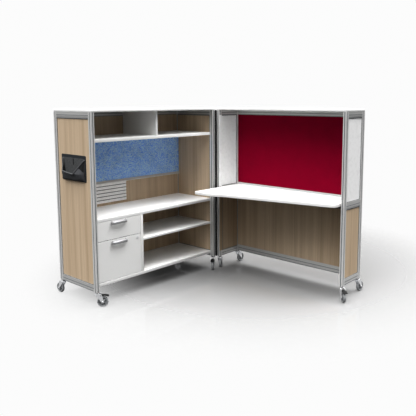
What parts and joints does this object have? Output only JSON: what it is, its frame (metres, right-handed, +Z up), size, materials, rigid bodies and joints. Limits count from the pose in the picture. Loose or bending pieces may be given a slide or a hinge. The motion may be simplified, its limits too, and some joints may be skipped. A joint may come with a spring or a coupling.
{
  "type": "mobile folding workstation",
  "caption": "Mobile folding workstation: a storage unit with drawers and shelves hinged at a right angle to a desk unit with a tapered worktop, on swivel casters.",
  "frame": {"origin": "middle of the foot of the whole part's box, on the floor, with the unit open at a right angle", "axes": "+Z up; +X the way the storage unit faces and the drawers open; the desk unit faces -Y"},
  "size_m": [1.8592, 1.644, 1.418],
  "materials": {
    "aluminium_frame": "satin anodised",
    "white_laminate": "satin white laminate on board",
    "oak_laminate": "light oak laminate, upright grain",
    "pinboard_felt": "mottled blue felt",
    "tackboard_fabric": "dark red woven fabric",
    "pale_panel": "frosted",
    "slat_grey": "light grey coated",
    "pocket_textile": "black textile",
    "tray_white": "satin",
    "slide_steel": "zinc plated",
    "handle_metal": "satin nickel",
    "hinge_black": "black satin",
    "pin_steel": "satin",
    "lock_chrome": "polished",
    "bracket_paint": "grey powder coat",
    "caster_chrome": "polished",
    "caster_wheel": "pale grey polyurethane",
    "pedal_black": "moulded",
    "stem_black": "black oxide"
  },
  "bodies": {
    "storage": {"storage_posts": "aluminium_frame", "storage_rails": "aluminium_frame", "storage_top": "white_laminate", "storage_end_panels": "oak_laminate", "storage_back_panel": "oak_laminate", "upper_shelf": "white_laminate", "shelf_divider": "white_laminate", "credenza_top": "white_laminate", "drawer_upright": "white_laminate", "mid_shelf": "white_laminate", "base_board": "white_laminate", "pinboard": "pinboard_felt", "accessory_rail": "slat_grey", "slat_panel": "slat_grey", "file_pocket": "pocket_textile", "drawer_guides": "slide_steel", "storage_hinge_leaf": "hinge_black", "hinge_pin": "pin_steel", "storage_caster_stems": "stem_black"},
    "desk": {"desk_posts": "aluminium_frame", "desk_rails": "aluminium_frame", "desk_cap": "white_laminate", "desk_end_panels": "oak_laminate", "desk_light_panels": "pale_panel", "tackboard": "tackboard_fabric", "desk_back_panel": "oak_laminate", "worktop": "white_laminate", "worktop_brackets": "bracket_paint", "desk_hinge_leaf": "hinge_black", "desk_caster_stems": "stem_black"},
    "box_drawer": {"box_drawer_tray": "tray_white", "box_drawer_front": "white_laminate", "box_drawer_handle": "handle_metal", "box_drawer_slides": "slide_steel"},
    "file_drawer": {"file_drawer_tray": "tray_white", "file_drawer_front": "white_laminate", "file_drawer_handle": "handle_metal", "file_drawer_slides": "slide_steel", "file_hanging_rails": "slide_steel"},
    "lock": {"lock_barrel": "lock_chrome"},
    "storage_caster_1": {"storage_fork_1": "caster_chrome"},
    "storage_wheel_1": {"storage_wheel_1": "caster_wheel"},
    "storage_pedal_1": {"storage_pedal_1": "pedal_black"},
    "storage_caster_2": {"storage_fork_2": "caster_chrome"},
    "storage_wheel_2": {"storage_wheel_2": "caster_wheel"},
    "storage_pedal_2": {"storage_pedal_2": "pedal_black"},
    "storage_caster_3": {"storage_fork_3": "caster_chrome"},
    "storage_wheel_3": {"storage_wheel_3": "caster_wheel"},
    "storage_caster_4": {"storage_fork_4": "caster_chrome"},
    "storage_wheel_4": {"storage_wheel_4": "caster_wheel"},
    "desk_caster_1": {"desk_fork_1": "caster_chrome"},
    "desk_wheel_1": {"desk_wheel_1": "caster_wheel"},
    "desk_caster_2": {"desk_fork_2": "caster_chrome"},
    "desk_wheel_2": {"desk_wheel_2": "caster_wheel"},
    "desk_pedal_2": {"desk_pedal_2": "pedal_black"},
    "desk_caster_3": {"desk_fork_3": "caster_chrome"},
    "desk_wheel_3": {"desk_wheel_3": "caster_wheel"},
    "desk_caster_4": {"desk_fork_4": "caster_chrome"},
    "desk_wheel_4": {"desk_wheel_4": "caster_wheel"}
  },
  "joints": [
    {"name": "desk_fold", "type": "hinge", "parent": "storage", "child": "desk", "pos_m": [-0.3891, 0.4755, 0.755], "axis": [0, 0, 1], "range_deg": [-90, 0]},
    {"name": "box_drawer_slide", "type": "slide", "parent": "storage", "child": "box_drawer", "axis": [1, 0, 0], "range_m": [0, 0.28]},
    {"name": "file_drawer_slide", "type": "slide", "parent": "storage", "child": "file_drawer", "axis": [1, 0, 0], "range_m": [0, 0.28]},
    {"name": "lock_turn", "type": "hinge", "parent": "file_drawer", "child": "lock", "pos_m": [-0.4316, -0.373, 0.43555], "axis": [1, 0, 0], "range_deg": [0, 90]},
    {"name": "storage_swivel_1", "type": "hinge", "parent": "storage", "child": "storage_caster_1", "pos_m": [-0.4136, 0.4565, 0.1], "axis": [0, 0, 1], "range_deg": [-165, 0]},
    {"name": "storage_roll_1", "type": "hinge", "parent": "storage_caster_1", "child": "storage_wheel_1", "pos_m": [-0.38789, 0.42586, 0.04], "axis": [0.766, 0.6428, 0], "continuous": true},
    {"name": "storage_brake_1", "type": "hinge", "parent": "storage_caster_1", "child": "storage_pedal_1", "pos_m": [-0.39689, 0.43658, 0.0876], "axis": [0.766, 0.6428, 0], "range_deg": [0, 16]},
    {"name": "storage_swivel_2", "type": "hinge", "parent": "storage", "child": "storage_caster_2", "pos_m": [-0.4136, -0.7685, 0.1], "axis": [0, 0, 1], "continuous": true},
    {"name": "storage_roll_2", "type": "hinge", "parent": "storage_caster_2", "child": "storage_wheel_2", "pos_m": [-0.38789, -0.73786, 0.04], "axis": [-0.766, 0.6428, 0], "continuous": true},
    {"name": "storage_brake_2", "type": "hinge", "parent": "storage_caster_2", "child": "storage_pedal_2", "pos_m": [-0.39689, -0.74858, 0.0876], "axis": [-0.766, 0.6428, 0], "range_deg": [0, 16]},
    {"name": "storage_swivel_3", "type": "hinge", "parent": "storage", "child": "storage_caster_3", "pos_m": [-0.8496, 0.4565, 0.1], "axis": [0, 0, 1], "continuous": true},
    {"name": "storage_roll_3", "type": "hinge", "parent": "storage_caster_3", "child": "storage_wheel_3", "pos_m": [-0.8896, 0.4565, 0.04], "axis": [0, -1, 0], "continuous": true},
    {"name": "storage_swivel_4", "type": "hinge", "parent": "storage", "child": "storage_caster_4", "pos_m": [-0.8496, -0.7685, 0.1], "axis": [0, 0, 1], "continuous": true},
    {"name": "storage_roll_4", "type": "hinge", "parent": "storage_caster_4", "child": "storage_wheel_4", "pos_m": [-0.8896, -0.7685, 0.04], "axis": [0, -1, 0], "continuous": true},
    {"name": "desk_swivel_1", "type": "hinge", "parent": "desk", "child": "desk_caster_1", "pos_m": [-0.3701, 0.5, 0.1], "axis": [0, 0, 1], "range_deg": [-70, 20]},
    {"name": "desk_roll_1", "type": "hinge", "parent": "desk_caster_1", "child": "desk_wheel_1", "pos_m": [-0.3901, 0.53464, 0.04], "axis": [-0.866, -0.5, 0], "continuous": true},
    {"name": "desk_swivel_2", "type": "hinge", "parent": "desk", "child": "desk_caster_2", "pos_m": [0.8549, 0.5, 0.1], "axis": [0, 0, 1], "continuous": true},
    {"name": "desk_roll_2", "type": "hinge", "parent": "desk_caster_2", "child": "desk_wheel_2", "pos_m": [0.88554, 0.47429, 0.04], "axis": [0.6428, 0.766, 0], "continuous": true},
    {"name": "desk_brake_2", "type": "hinge", "parent": "desk_caster_2", "child": "desk_pedal_2", "pos_m": [0.87482, 0.48329, 0.0876], "axis": [0.6428, 0.766, 0], "range_deg": [0, 16]},
    {"name": "desk_swivel_3", "type": "hinge", "parent": "desk", "child": "desk_caster_3", "pos_m": [-0.3701, 0.742, 0.1], "axis": [0, 0, 1], "continuous": true},
    {"name": "desk_roll_3", "type": "hinge", "parent": "desk_caster_3", "child": "desk_wheel_3", "pos_m": [-0.3701, 0.782, 0.04], "axis": [-1, 0, 0], "continuous": true},
    {"name": "desk_swivel_4", "type": "hinge", "parent": "desk", "child": "desk_caster_4", "pos_m": [0.8549, 0.742, 0.1], "axis": [0, 0, 1], "continuous": true},
    {"name": "desk_roll_4", "type": "hinge", "parent": "desk_caster_4", "child": "desk_wheel_4", "pos_m": [0.8549, 0.782, 0.04], "axis": [-1, 0, 0], "continuous": true}
  ]
}
